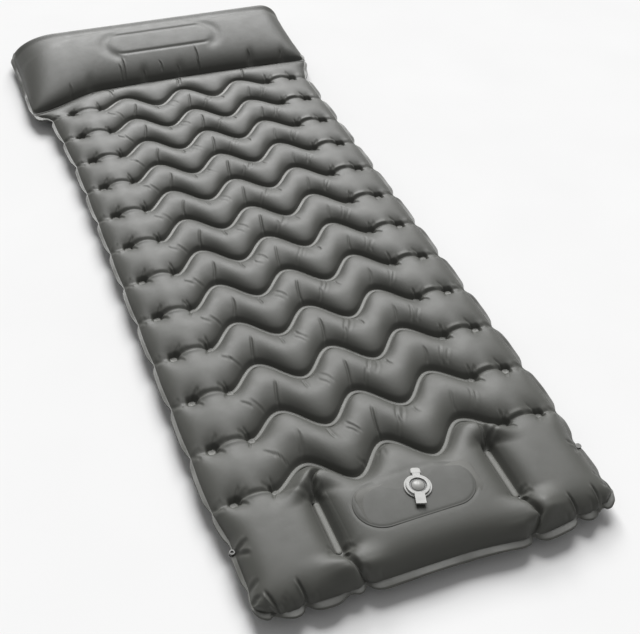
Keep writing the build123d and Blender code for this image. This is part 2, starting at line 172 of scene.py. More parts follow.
def lengthways(x, v):
    """y of the sheet's line v at x: the waves, and how the welded rows bow."""
    share = np.clip((v - first_row + wave_fade_in) / wave_fade_in, 0, 1)
    share = share * np.clip((junction - 0.006 - v) / wave_fade_out, 0, 1)
    middle = 0.5 * (1 + np.cos(np.pi * np.clip((np.abs(x) - wave_length) / 0.07, 0, 1)))
    y = v + share * (wave(x) + row_arch * arch(v) * middle - row_shift) + row_arch * arch(v)
    on_left = smooth((-x - left_dip_start) / left_dip_run)
    bow = junction_bow - junction_dip * (x / pillow_half) ** 2 - left_dip * on_left
    y = y + bow * bell(v - junction, junction_reach)
    y = y - foot_bow * bell(x - foot_bow_x, foot_bow_half) * smooth((bar_foot_v - v) / 0.05)
    for notch in foot_notches:
        y = y + notch_depth * np.exp(-((x - notch) / notch_half) ** 2 - ((v - foot_line) / notch_reach) ** 2)
    return y


def place(u, v):
    """Plan position of the point (u, v) of the sheet once the pad is blown up."""
    u, v = np.broadcast_arrays(np.asarray(u, float), np.asarray(v, float))
    side, a = np.sign(u), np.abs(u)
    fold = fold_place(v, side)
    a = np.where(a < bar_x, a * fold / bar_x,
                 np.where(a < wave_end, fold + (a - bar_x) * (wave_end - fold) / (wave_end - bar_x), a))
    stretch = (half_width(v, side) - inner_zone) / (edge_u - inner_zone)
    a = np.where(a < inner_zone, a, inner_zone + (a - inner_zone) * stretch)
    x = side * a
    return round_corners(x, lengthways(x, v), v)


def round_corners(x, y, v):
    """Round the four corners of the sheet off."""
    radius = corner_radius
    half = half_width(v, x)
    for end in (foot_line, head_line):
        toward = math.copysign(1, end)
        across = np.clip((np.abs(x) - (half - radius)) / radius, 0, 1)
        along = np.clip((toward * (y - end) + radius) / radius, 0, 1)
        x_new = half - radius + radius * across * np.sqrt(1 - along**2 / 2)
        y_new = end + toward * (radius * along * np.sqrt(1 - across**2 / 2) - radius)
        corner = (across > 0) & (along > 0)
        x = np.where(corner, np.sign(x) * x_new, x)
        y = np.where(corner, y_new, y)
    return x, y


def stops_between(stops, step):
    """Evenly filled list of grid lines that keeps every stop."""
    lines = [stops[0]]
    for a, b in zip(stops, stops[1:]):
        count = max(1, round((b - a) / step))
        lines += [a + (b - a) * i / count for i in range(1, count + 1)]
    return np.array(lines)


half_stops = [0, bar_x - bar_half, bar_x, bar_x + bar_half, wave_end, inner_zone, edge_u]
u_lines = stops_between([-s for s in reversed(half_stops)] + half_stops[1:], grid_step)
v_stops = [foot_line, bar_foot_v, bar_top_v]
for row in row_lines:
    v_stops += [row - weld_half, row, row + weld_half]
v_stops += [junction - weld_half, junction, junction + weld_half, head_line]
v_lines = stops_between(v_stops, grid_step)
grid_u, grid_v = np.meshgrid(u_lines, v_lines)
grid_x, grid_y = place(grid_u, grid_v)

tiny = 1e-6
held = np.zeros(grid_u.shape, bool)
held[0] = held[-1] = True
held[:, 0] = held[:, -1] = True
held |= (np.abs(grid_v - junction) < weld_half + tiny)
for row in row_lines:
    held |= (np.abs(grid_v - row) < weld_half + tiny) & (np.abs(grid_u) < wave_end + tiny)
    row_x, row_y = place(dot_x, row)
    held |= np.hypot(np.abs(grid_x) - row_x, grid_y - row_y) < dot_radius
    end_x, end_y = place(wave_end, row)
    held |= np.hypot(np.abs(grid_x) - end_x, grid_y - end_y) < end_radius
beside_pump = grid_v < first_row + tiny
on_fold = np.abs(np.abs(grid_u) - bar_x) < tiny
on_bar = np.abs(np.abs(grid_u) - bar_x) < bar_half + tiny
on_bar &= (grid_v > bar_foot_v - tiny) & (grid_v < bar_top_v + tiny)
held |= beside_pump & (on_fold | on_bar)


# ---- blowing the upper sheet up ----
film_rounds = 1500          # enough for the soap film to settle


def first_guess():
    """Height of a soap film under pressure between the welds, as the start."""
    film = np.zeros(grid_u.shape)
    across = 1 / np.gradient(grid_x, axis=1)[1:-1, 1:-1] ** 2
    along = 1 / np.gradient(grid_y, axis=0)[1:-1, 1:-1] ** 2
    open_sheet = ~held[1:-1, 1:-1]
    for _ in range(film_rounds):
        from_sides = across * (film[1:-1, :-2] + film[1:-1, 2:])
        from_ends = along * (film[:-2, 1:-1] + film[2:, 1:-1])
        film[1:-1, 1:-1] = np.where(open_sheet, (from_sides + from_ends + 1) / (2 * (across + along)), 0)
    return np.sqrt(film)


def add_object(name, data):
    obj = bpy.data.objects.new(name, data)
    bpy.context.collection.objects.link(obj)
    return obj


def add_mesh(name, points, faces):
    mesh = bpy.data.meshes.new(name)
    mesh.from_pydata(points, [], faces)
    return add_object(name, mesh)


def add_grid(name, points, quads):
    return add_mesh(name, points.reshape(-1, 3).tolist(), quads.tolist())


def quads_of(rows, columns, closed=False):
    """Faces of a grid of points; closed joins its last lines to its first, both ways."""
    index = np.arange(rows * columns).reshape(rows, columns)
    if closed:
        index = np.pad(index, ((0, 1), (0, 1)), "wrap")
    corners = [index[:-1, :-1], index[:-1, 1:], index[1:, 1:], index[1:, :-1]]
    return np.stack(corners, -1).reshape(-1, 4)


sim_scale = 10.0            # the simulation runs ten times larger, where it is steadier
sim_frames = 30
guess = first_guess()
start_share = 0.45          # the sheet starts flatter than the film
start = np.stack([grid_x, grid_y, start_share * guess], -1)

# slack: how much longer and wider the cut sheet is than its plan once blown up
foot_slack, tube_slack, pillow_slack = (1.22, 1.07), (1.24, 1.05), (1.26, 1.06)
slack_stops = [first_row - 0.02, first_row, junction - 0.01, junction + 0.01]
slack_y, slack_x = (np.interp(v_lines, slack_stops, slacks)
                    for slacks in zip(foot_slack, tube_slack, tube_slack, pillow_slack))


def cut_layout():
    """The flat sheet: the plan stretched by the slack, cell by cell."""
    cut = np.zeros(start.shape)
    cut[..., 0] = grid_x * slack_x[:, None]
    gaps = np.diff(grid_y, axis=0) * ((slack_y[1:] + slack_y[:-1]) / 2)[:, None]
    cut[1:, :, 1] = np.cumsum(gaps, axis=0)
    cut[..., 1] += grid_y[0]
    return cut


def inflate():
    """Blow the sheet up with Blender's cloth and return its points."""
    quads = quads_of(*grid_u.shape)
    sheet = add_grid("sheet", start * sim_scale, quads)
    sheet.shape_key_add(name="Basis")
    cut = sheet.shape_key_add(name="cut")
    cut.data.foreach_set("co", (cut_layout() * sim_scale).astype(np.float32).ravel())
    cut.value = 0
    group = sheet.vertex_groups.new(name="held")
    group.add(np.nonzero(held.ravel())[0].tolist(), 1.0, "REPLACE")
    cloth = sheet.modifiers.new("Cloth", "CLOTH")
    s = cloth.settings
    s.quality = 5
    s.mass = 0.3
    s.air_damping = 2.0
    s.tension_stiffness = s.compression_stiffness = 40
    s.shear_stiffness = 8
    s.bending_stiffness = 0.2
    s.tension_damping = s.compression_damping = 10
    s.shear_damping = 5
    s.use_pressure = True
    s.uniform_pressure_force = 2.5
    s.vertex_group_mass = "held"
    s.rest_shape_key = cut
    s.effector_weights.gravity = 0
    cloth.collision_settings.use_collision = False
    cloth.point_cache.frame_start = 1
    cloth.point_cache.frame_end = sim_frames
    scene = bpy.context.scene
    for step in range(1, sim_frames + 1):
        scene.frame_set(step)
    blown = sheet.evaluated_get(bpy.context.evaluated_depsgraph_get())
    points = np.zeros(grid_u.size * 3)
    blown.data.vertices.foreach_get("co", points)
    scene.frame_set(1)
    mesh = sheet.data
    bpy.data.objects.remove(sheet)
    bpy.data.meshes.remove(mesh)
    return points.reshape(start.shape) / sim_scale


skin = inflate()


# ---- finer grid with the pump block, pillow shape and creases ----
def refine(values, axis):
    """Twice as many grid lines along one axis, on smooth curves through the old points."""
    v = np.moveaxis(values, axis, 0)
    padded = np.concatenate([2 * v[:1] - v[1:2], v, 2 * v[-1:] - v[-2:-1]])
    middle = (9 * (padded[1:-2] + padded[2:-1]) - padded[:-3] - padded[3:]) / 16
    both = np.empty((2 * len(v) - 1,) + v.shape[1:])
    both[0::2] = v
    both[1::2] = middle
    return np.moveaxis(both, 0, axis)


def halfway(lines):
    return np.insert(lines, range(1, len(lines)), (lines[1:] + lines[:-1]) / 2)


fine = refine(refine(refine(skin, 0), 1), 1)    # finest across the pad, for the creases
fine_u_lines, fine_v_lines = halfway(halfway(u_lines)), halfway(v_lines)
fine_u, fine_v = np.meshgrid(fine_u_lines, fine_v_lines)
fine_x, fine_y = fine[..., 0], fine[..., 1]
height = np.maximum(fine[..., 2], 0)


def soft_least(a, b, rounding):
    """The smaller of two heights, with a rounded edge where they meet."""
    return -rounding * np.logaddexp(-a / rounding, -b / rounding)


def fuller(part, power):
    """Same height in the middle, but steeper sides."""
    t = np.clip(part / part.max(), 0, 1)
    return part.max() * (1 - (1 - t) ** power)


def smooth_across(values, count):
    """Running average along the grid's rows, which keeps the welds in place."""
    kernel = np.ones(count) / count
    padded = np.pad(values, ((0, 0), (count // 2, count // 2)), "edge")
    return np.apply_along_axis(np.convolve, 1, padded, kernel, "valid")


in_pillow = fine_v > junction
in_wings = (fine_v < first_row) & (np.abs(fine_u) > bar_x)
in_pump = (np.abs(fine_u) < bar_x + tiny) & (fine_v < first_row + tiny)
inner_pump = (np.abs(fine_u) < bar_x - 0.020) & (fine_v < first_row)

pillow_fullness, wing_fullness = 1.25, 1.6
climb_length = 0.205        # from the pillow's front weld to its full height
quick_share, quick_climb = 0.25, 0.06    # the first part rises quickly
slow_power = 1.3
ridge_rounding = 0.005
left_end_run, right_end_run = 0.120, 0.065    # how far the pillow's ends curve down
wedge_share = 0.72          # the rest follows the blown-up cloth, up to the back
back_starts, back_blend = 0.895, 0.025
lift_off = 0.004            # below this height the sheet is still at its weld


def pillow_height():
    """A wedge that rises to a full, steep back, where the release valve has its flat place."""
    blown = fuller(np.where(in_pillow, height, 0), pillow_fullness)
    blown = blown * pillow_rise / blown.max()
    steep = (slope_top[1] - slope_foot[1]) / (slope_foot[0] - slope_top[0])
    behind = slope_top[1] - weld_z - (fine_y - slope_top[0]) * steep
    climb = np.clip((fine_y - lengthways(fine_x, junction)) / climb_length, 0, 1)
    quick_part = quick_share * (1 - np.exp(-climb / quick_climb))
    slow_part = (1 - quick_share) * (1 - (1 - climb) ** slow_power)
    wedge = soft_least(pillow_rise * (quick_part + slow_part) + 0.0010, behind, ridge_rounding)
    end_run = np.where(fine_u < 0, left_end_run, right_end_run)
    past_end = np.clip((np.abs(fine_x) - (half_width(fine_v, fine_u) - end_run)) / end_run, 0, 1)
    wedge = np.clip(wedge, 0, pillow_rise) * np.sqrt(1 - past_end**2)
    shaped = wedge_share + (1 - wedge_share) * smooth((fine_y - back_starts) / back_blend)
    return (shaped * wedge + (1 - shaped) * blown) * smooth(height / lift_off)


fold_rise, fold_reach = 0.018, 0.040     # the cloth stands this high along a fold
fold_crease, fold_crease_half = 0.30, 0.0045


def band(v, low, high, run_in, run_out):
    """0 below low, 1 in between, 0 above high."""
    return smooth((v - low) / run_in) * smooth((high - v) / run_out)


def fold_lift():
    """Past both ends of a bar the fold is a shallow crease, not a valley down to the weld."""
    from_fold = np.abs(np.abs(fine_x) - fold_place(fine_v, fine_u))
    past_bar = band(fine_v, bar_top_v, first_row - weld_half, 0.030, 0.024)
    past_bar += band(fine_v, foot_line, bar_foot_v, 0.030, 0.034)
    crease_share = fold_crease * bell(from_fold, fold_crease_half)
    return fold_rise * past_bar * (1 - crease_share) * bell(from_fold, fold_reach)


block_rounding = 0.0100
pump_average = 9            # grid lines in the running average that takes the waves out of the pump
# v, and how many times higher than the blown-up cloth the block would stand there
block_gain = ((bar_foot_v - 0.05, 1.45), (bar_foot_v, 1.5), (bar_top_v, 1.5), (first_row, 1.15))


def pump_height():
    """A level block with rounded edges."""
    gain = np.interp(fine_v, *zip(*block_gain))
    block = soft_least(gain * height, block_rise + 0.0002, block_rounding)
    return np.maximum(block - soft_least(0, block_rise, block_rounding), 0)


height = np.where(in_pillow, pillow_height(), height)
height = np.where(in_wings, fuller(np.where(in_wings, height, 0), wing_fullness), height)
height = np.where(inner_pump, smooth_across(smooth_across(height, pump_average), pump_average), height)
height += fold_lift()
height = np.where(in_pump, pump_height(), height)
fine[..., 2] = height


lip_share = 0.38            # each crease has a low lip along one side
crease_half = 0.0021
across_half = 0.0034        # the grid is coarser lengthways, so a crease that runs across is wider
crease_margin = 0.03        # how far round a crease the sheet is looked at


def stroke_depth(x, y, start_point, end_point, half, bend=0.0):
    """1 in the middle of a crease from start to end, fading to 0 across and at its tips."""
    (x0, y0), (x1, y1) = start_point, end_point
    length = math.hypot(x1 - x0, y1 - y0)
    tx, ty = (x1 - x0) / length, (y1 - y0) / length
    along = (x - x0) * tx + (y - y0) * ty
    t = np.clip(along / length, -0.2, 1.2)
    side = -(x - x0) * ty + (y - y0) * tx - bend * 4 * t * (1 - t)
    fade = smooth((t + 0.12) / 0.3) * smooth((1.12 - t) / 0.3)
    groove = bell(side, half)
    lip = bell(side - 2.0 * half, 1.1 * half)
    return (groove - lip_share * lip) * fade


def spot(u, v):
    """Plan position of a weld or crease; in the middle zone u is simply x."""
    if abs(u) < inner_zone:
        return u, float(lengthways(u, v))
    x, y = place(u, v)
    return float(x), float(y)


sunk = np.zeros(height.shape)


def crease(start_uv, end_uv, depth, half=crease_half, bend=0.0):
    """Draw one crease between two points of the cutting plan."""
    a, b = spot(*start_uv), spot(*end_uv)
    half = max(half, across_half * abs(b[0] - a[0]) / math.dist(a, b))
    near = np.ones(height.shape, bool)
    for axis in (0, 1):
        low, high = min(a[axis], b[axis]) - crease_margin, max(a[axis], b[axis]) + crease_margin
        near &= (fine[..., axis] > low) & (fine[..., axis] < high)
    sunk[near] += depth * stroke_depth(fine_x[near], fine_y[near], a, b, half, bend)


def pucker(side, u, v, angle, reach, depth, half=crease_half, inset=0.0):
    """Crease that runs out from a weld; at angle 0 it points to the pad's middle."""
    tip = (side * (u - reach * math.cos(angle)), v + reach * math.sin(angle))
    crease((side * (u - inset), v), tip, depth, half)


# creases across each tube: x and share of the tube, at both ends, and depth
tube_creases = (
    (-0.224, 0.66, -0.205, 0.38, 0.0026), (-0.205, 0.50, -0.187, 0.10, 0.0030),
    (-0.143, 0.50, -0.155, 0.05, 0.0034), (-0.091, 0.88, -0.089, 0.64, 0.0026),
    (-0.052, 0.80, -0.034, 0.38, 0.0024), (-0.061, 0.74, -0.045, 0.44, 0.0018),
    (0.004, 0.54, -0.006, 0.05, 0.0034), (0.061, 0.93, 0.041, 0.40, 0.0026),
    (0.069, 0.88, 0.051, 0.46, 0.0020), (0.040, 0.48, 0.024, 0.06, 0.0026),
    (0.083, 0.86, 0.089, 0.66, 0.0022), (0.168, 0.42, 0.159, 0.08, 0.0020),
    (0.203, 0.60, 0.188, 0.14, 0.0026), (0.212, 0.58, 0.196, 0.20, 0.0020),
)
tube_share, pillow_share = 0.7, 0.8      # of the depths listed
chance = np.random.default_rng(7)
for k in range(row_count - 1):
    for x0, t0, x1, t1, depth in tube_creases:
        shift, size = chance.uniform(-0.004, 0.004), chance.uniform(0.75, 1.2)
        low, reach = row_lines[k] + weld_half, row_pitch - 2 * weld_half
        crease((x0 + shift, low + t0 * reach), (x1 + shift, low + t1 * reach), tube_share * depth * size,
               bend=chance.uniform(-0.003, 0.003))

# valley from each wave's end over the spot weld to the rim, with fans of puckers
inner_valley, inner_valley_half = 0.0056, 0.0026
outer_valley, outer_valley_half = 0.0022, 0.0050
end_pucker, end_pucker_half = 0.0022, 0.0020
rim_pucker, rim_pucker_half = 0.0016, 0.0028
for row in row_lines:
    for side in (-1, 1):
        crease((side * (wave_end + 0.002), row), (side * (dot_x - 0.004), row + 0.001),
               inner_valley, inner_valley_half, side * 0.004)
        crease((side * (dot_x + 0.004), row), (side * (edge_u - 0.002), row),
               outer_valley, outer_valley_half)
        for turn, reach, depth in ((0.9, 0.030, 0.0026), (-0.8, 0.028, 0.0024), (0.35, 0.036, 0.0020)):
            angle = turn + chance.uniform(-0.15, 0.15)
            pucker(side, dot_x, row, angle, reach, depth * chance.uniform(0.7, 1.2))
        for turn in (2.4, 1.8, -2.2):
            angle = turn + chance.uniform(-0.2, 0.2)
            reach = chance.uniform(0.018, 0.030)
            pucker(side, wave_end, row, angle, reach, end_pucker, end_pucker_half)
        for turn in (0.5, -0.5):
            angle = turn + chance.uniform(-0.2, 0.2)
            reach = chance.uniform(0.018, 0.028)
            pucker(side, edge_u, row, angle, reach, rim_pucker, rim_pucker_half, inset=0.001)

# front of the pillow: x and distance from its weld at both ends, and depth
pillow_creases = (
    (-0.128, 0.085, -0.136, 0.010, 0.0030), (-0.141, 0.062, -0.146, 0.012, 0.0022),
    (-0.030, 0.055, -0.030, 0.022, 0.0022), (0.080, 0.088, 0.072, 0.008, 0.0030),
    (0.075, 0.040, 0.070, 0.008, 0.0020), (-0.080, 0.030, -0.086, 0.004, 0.0026),
    (0.016, 0.028, 0.010, 0.003, 0.0024), (-0.272, 0.030, -0.276, 0.004, 0.0030),
    (0.225, 0.045, 0.215, 0.005, 0.0040), (0.300, 0.030, 0.290, 0.004, 0.0030),
)
# pleats before it: x and distance behind the weld, then x and distance past the last row, and depth
pleats = (
    (-0.200, 0.006, -0.188, 0.030, 0.0030), (-0.188, 0.008, -0.182, 0.044, 0.0022),
    (-0.001, 0.005, -0.006, 0.022, 0.0032), (0.009, 0.006, 0.000, 0.026, 0.0026),
    (0.186, 0.005, 0.176, 0.020, 0.0030),
)
at_pillow = [(u0, junction + v0, u1, junction + v1, depth) for u0, v0, u1, v1, depth in pillow_creases]
at_pillow += [(u0, junction - v0, u1, last_row + v1, depth) for u0, v0, u1, v1, depth in pleats]
at_pillow.append((-edge_u, head_line - 0.040, -edge_u, junction + 0.140, 0.0050))
for u0, v0, u1, v1, depth in at_pillow:
    crease((u0, v0), (u1, v1), pillow_share * depth, bend=0.002)

# soft hollows at the foot of the pillow: x and depth
hollows = ((-0.235, 0.0028), (-0.085, 0.0042), (0.018, 0.0028), (0.222, 0.0056), (0.300, 0.0035))
hollow_half, hollow_reach, hollow_lean = 0.011, 0.030, 0.2
for x, depth in hollows:
    beside = fine_x - spot(x, junction)[0] - hollow_lean * (fine_v - junction)
    above = fine_v - junction - 0.010
    sunk += depth * np.exp(-(beside / hollow_half) ** 2 - (above / hollow_reach) ** 2) * in_pillow

# foot section: folds round the pump, puckers at the bars, notches at the edge
bar_pucker_half = 0.0016
notch_crease = 0.0048
foot_puckers = ((-2.9, 0.024), (2.7, 0.022), (-0.15, 0.024), (0.25, 0.020), (-1.0, 0.020), (-2.1, 0.018))
top_puckers = ((2.2, 0.022), (2.8, 0.026), (0.5, 0.022))    # direction in radians, and reach
for side in (-1, 1):
    crease((side * (bar_x + 0.004), bar_top_v + 0.004), (side * wave_end, first_row - 0.006),
           0.0022, 0.0030, side * 0.006)
    for v, depth, puckers in ((bar_foot_v, 0.0024, foot_puckers), (bar_top_v, 0.0022, top_puckers)):
        for turn, reach in puckers:
            pucker(side, bar_x, v, turn, reach, depth, bar_pucker_half)
for x in foot_notches:
    if abs(x) > bar_x:      # the other two lie at the folds beside the pump
        crease((x + 0.002, foot_line - 0.004), (x - 0.006, foot_line + 0.036), notch_crease)
# in from the rim beside the chambers: v at the rim, v and reach of the tip, depth and half width
side_notches = (foot_line + 0.055, foot_line + 0.028)
side_creases = (
    (side_notches[0], foot_line + 0.062, 0.020, 0.0030, 0.0022),
    (side_notches[1], foot_line + 0.036, 0.014, 0.0026, 0.0020),
    (socket_low.y, socket_low.y + 0.012, 0.028, 0.0040, 0.0032),
    (socket_low.y, socket_low.y - 0.016, 0.024, 0.0034, 0.0030),
)
for side in (-1, 1):
    for v0, v1, reach, depth, half in side_creases:
        crease((side * edge_u, v0), (side * (edge_u - reach), v1), depth, half)

# sewn-in oval on the pillow: sharp long edges, soft hollows at its two ends
oval_y, oval_half, oval_radius = 0.824, 0.150, 0.040
edge_depth, edge_half = 0.0030, 0.0042
end_depth, end_half, end_offset = 0.0042, 0.016, 0.010
oval_x = np.clip(fine_x, -(oval_half - oval_radius), oval_half - oval_radius)
from_oval = np.hypot(fine_x - oval_x, fine_y - oval_y) - oval_radius
long_edge = smooth((oval_half - 0.012 - np.abs(fine_x)) / 0.03)
sunk += edge_depth * bell(from_oval, edge_half) * long_edge
beyond_oval = smooth((np.abs(fine_x) - oval_half + oval_radius) / 0.03)
sunk += end_depth * bell(from_oval - end_offset, end_half) * beyond_oval

# a slight groove in the pump's cover round the patch
patch_cx, patch_cy = (patch_low.x + patch_high.x) / 2, (patch_low.y + patch_high.y) / 2
patch_long, patch_short = (patch_high.x - patch_low.x) / 2, (patch_high.y - patch_low.y) / 2
patch_x = np.clip(fine_x - patch_cx, -(patch_long - patch_short), patch_long - patch_short)
from_patch = np.hypot(fine_x - patch_cx - patch_x, fine_y - patch_cy) - patch_short
patch_groove, patch_groove_half = 0.0007, 0.0024
sunk += patch_groove * bell(from_patch, patch_groove_half)


def normals_of(points):
    across = np.gradient(points, axis=1)
    along = np.gradient(points, axis=0)
    n = np.cross(across, along)
    return n / np.maximum(np.linalg.norm(n, axis=-1, keepdims=True), 1e-12)


# creases are a little softer lengthways, where the grid is coarser, and never reach the weld plane
sunk[1:-1] = (sunk[:-2] + 2 * sunk[1:-1] + sunk[2:]) / 4
deepest = 0.6 * height + 0.0002
sunk = np.where(sunk > 0, deepest * (1 - np.exp(-sunk / deepest)), sunk * smooth(height / 0.008))
fine = fine - normals_of(fine) * sunk[..., None] * smooth(height / 0.002)[..., None]
fine[..., 2] = np.maximum(fine[..., 2], 0)
top = fine + np.array([0, 0, weld_z])
top_normals = normals_of(top)


# ---- materials ----
def new_material(name):
    material = bpy.data.materials.new(name)
    material.use_nodes = True
    nodes, links = material.node_tree.nodes, material.node_tree.links
    nodes.clear()
    shader = nodes.new("ShaderNodeBsdfPrincipled")
    output = nodes.new("ShaderNodeOutputMaterial")
    links.new(shader.outputs["BSDF"], output.inputs["Surface"])
    place_node = nodes.new("ShaderNodeTexCoord")
    return material, nodes, links, shader, place_node.outputs["Object"]


def noise(nodes, links, where, scale, detail=3.0, roughness=0.55):
    node = nodes.new("ShaderNodeTexNoise")
    node.inputs["Scale"].default_value = scale
    node.inputs["Detail"].default_value = detail
    node.inputs["Roughness"].default_value = roughness
    links.new(where, node.inputs["Vector"])
    return node.outputs["Fac"]


def ramp(nodes, links, value, stops):
    node = nodes.new("ShaderNodeValToRGB")
    elements = node.color_ramp.elements
    while len(elements) < len(stops):
        elements.new(0.5)
    for element, (at, colour) in zip(elements, stops):
        element.position = at
        element.color = (*colour, 1)
    links.new(value, node.inputs["Fac"])
    return node.outputs["Color"]


def mottle(nodes, links, where, socket, scale, detail, stops):
    """Vary one input of a shader slowly over the surface."""
    links.new(ramp(nodes, links, noise(nodes, links, where, scale, detail), stops), socket)


def bump(nodes, links, height_value, strength, distance, below=None):
    node = nodes.new("ShaderNodeBump")
    node.inputs["Strength"].default_value = strength
    node.inputs["Distance"].default_value = distance
    links.new(height_value, node.inputs["Height"])
    if below is not None:
        links.new(below, node.inputs["Normal"])
    return node.outputs["Normal"]


def weave(nodes, links, where, thread):
    """Plain weave: two sets of threads, over and under."""
    band_period = 0.314     # of a wave texture at scale 1
    parts = []
    for direction in ("X", "Y"):
        node = nodes.new("ShaderNodeTexWave")
        node.wave_type = "BANDS"
        node.bands_direction = direction
        node.inputs["Scale"].default_value = band_period / thread
        node.inputs["Distortion"].default_value = 0.4
        node.inputs["Detail"].default_value = 1.0
        links.new(where, node.inputs["Vector"])
        parts.append(node.outputs["Fac"])
    both = nodes.new("ShaderNodeMath")
    both.operation = "MAXIMUM"
    links.new(parts[0], both.inputs[0])
    links.new(parts[1], both.inputs[1])
    return both.outputs[0]


def coated_fabric(name, dark, light, roughness, thread=0.0007, weave_depth=0.00006):
    """Satin nylon with a coated face: fine weave, small ripples, slow changes of tone."""
    material, nodes, links, shader, where = new_material(name)
    mottle(nodes, links, where, shader.inputs["Base Color"], 9, 4, [(0.25, dark), (0.75, light)])
    mottle(nodes, links, where, shader.inputs["Roughness"], 38, 3,
           [(0.3, (roughness - 0.02,) * 3), (0.7, (roughness + 0.03,) * 3)])
    ripple = bump(nodes, links, noise(nodes, links, where, 70, 2), 0.12, 0.0012)
    cloth = bump(nodes, links, weave(nodes, links, where, thread), 0.5, weave_depth, ripple)
    links.new(cloth, shader.inputs["Normal"])
    shader.inputs["Specular IOR Level"].default_value = 0.40
    shader.inputs["Sheen Weight"].default_value = 0.05
    shader.inputs["Sheen Roughness"].default_value = 0.45
    return material


def plastic(name, dark, light, roughness, grain=900):
    material, nodes, links, shader, where = new_material(name)
    mottle(nodes, links, where, shader.inputs["Base Color"], 60, 3, [(0.3, dark), (0.7, light)])
    mottle(nodes, links, where, shader.inputs["Roughness"], 130, 2,
           [(0.3, (roughness - 0.05,) * 3), (0.7, (roughness + 0.05,) * 3)])
    skin_bump = bump(nodes, links, noise(nodes, links, where, grain, 2), 0.15, 0.0001)
    links.new(skin_bump, shader.inputs["Normal"])
    return material


nylon = coated_fabric("coated_nylon", (0.072, 0.073, 0.065), (0.084, 0.085, 0.076), 0.50)
# a darker copy of the same nylon: painted shade, for the underside and the junction weld in its fold
painted_shade_nylon = coated_fabric("painted_shade_nylon", (0.060, 0.061, 0.054), (0.076, 0.077, 0.068), 0.50)
# weld strips and bars: lighter where the fabric is fused, and partly painted highlight where they lie flat
# facing up
fused_and_highlit_weld_nylon = coated_fabric("fused_and_highlit_weld_nylon", (0.125, 0.126, 0.114), (0.160, 0.161, 0.146), 0.44)
# spot welds: lighter where the fabric is fused, and partly painted highlight on their flat raised tops
fused_and_highlit_button_nylon = coated_fabric("fused_and_highlit_button_nylon", (0.180, 0.181, 0.165), (0.230, 0.231, 0.212), 0.44)
rim_nylon = coated_fabric("rim_nylon", (0.074, 0.075, 0.067), (0.098, 0.099, 0.089), 0.46)
patch_nylon = coated_fabric("patch_nylon", (0.062, 0.063, 0.056), (0.069, 0.070, 0.062), 0.52)
pouch_nylon = coated_fabric("pouch_nylon", (0.10, 0.10, 0.09), (0.13, 0.13, 0.12), 0.6)
off_white = plastic("off_white_plastic", (0.35, 0.35, 0.335), (0.41, 0.41, 0.395), 0.36)
dark_plastic = plastic("dark_plastic", (0.09, 0.09, 0.085), (0.13, 0.13, 0.12), 0.4)
rubber = plastic("seal_rubber", (0.05, 0.05, 0.05), (0.07, 0.07, 0.07), 0.6)
foam = plastic("open_foam", (0.20, 0.20, 0.19), (0.32, 0.32, 0.30), 0.9, 400)


ring_reach = 0.025          # the colour rings of a cap are laid out over this radius
# the groove's dark tone is painted shade in the recess; the dome's tone is a little greyer
dome_tone, groove_shade_tone = 0.95, 0.20
dome_blend, groove_blend = 0.03, 0.04    # shares of ring_reach over which the tone changes


def cap_plastic(name, centre, dome, groove):
    """The off-white plastic of a valve cap: painted shade as a dark ring over its groove, and a slightly
    greyer dome.
    """
    material = off_white.copy()
    material.name = name
    nodes, links = material.node_tree.nodes, material.node_tree.links
    shader = next(node for node in nodes if node.type == "BSDF_PRINCIPLED")
    tone = shader.inputs["Base Color"].links[0].from_socket
    where = nodes.new("ShaderNodeTexCoord").outputs["Object"]
    away = nodes.new("ShaderNodeVectorMath")
    away.operation = "DISTANCE"
    links.new(where, away.inputs[0])
    away.inputs[1].default_value = centre
    scaled = nodes.new("ShaderNodeMath")
    scaled.operation = "MULTIPLY"
    links.new(away.outputs["Value"], scaled.inputs[0])
    scaled.inputs[1].default_value = 1 / ring_reach
    # painted shade: a dark ring over the groove
    rings = ramp(nodes, links, scaled.outputs[0], [
        (dome / ring_reach - dome_blend, (dome_tone,) * 3), (dome / ring_reach, (groove_shade_tone,) * 3),
        (groove / ring_reach - groove_blend, (groove_shade_tone,) * 3), (groove / ring_reach, (1.0,) * 3)])
    blend = nodes.new("ShaderNodeMix")
    blend.data_type = "RGBA"
    blend.blend_type = "MULTIPLY"
    blend.inputs["Factor"].default_value = 1
    links.new(tone, blend.inputs["A"])
    links.new(rings, blend.inputs["B"])
    links.new(blend.outputs["Result"], shader.inputs["Base Color"])
    return material


# ---- pieces of the upper sheet ----
def finish_piece(obj, material):
    obj.data.materials.append(material)
    for polygon in obj.data.polygons:
        polygon.use_smooth = True
    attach(obj, "pad")
    return obj


wall_foot = 0.0006          # the wall beside the pump ends this far under the weld plane


def sheet_piece(name, u_range, v_range, folded_edge=False, wall_side=0):
    """One part of the upper sheet, cut out of the grid between two lines each way."""
    c0, c1 = (int(np.argmin(np.abs(fine_u_lines - u))) for u in u_range)
    r0, r1 = (int(np.argmin(np.abs(fine_v_lines - v))) for v in v_range)
    points = top[r0:r1 + 1, c0:c1 + 1]
    if wall_side:
        # the wall of cloth between this chamber and the pump, seen when the pump is pressed
        before, after = (0, 1) if wall_side > 0 else (1, 0)
        points = np.pad(points, ((0, 0), (before, after), (0, 0)), "edge")
        points[:, -1 if after else 0, 2] = weld_z - wall_foot
    obj = add_grid(name, points, quads_of(*points.shape[:2]))
    finish_piece(obj, nylon)
    own = normals_of(points) if folded_edge else top_normals[r0:r1 + 1, c0:c1 + 1]
    obj.data.normals_split_custom_set_from_vertices(own.reshape(-1, 3).tolist())
    return obj


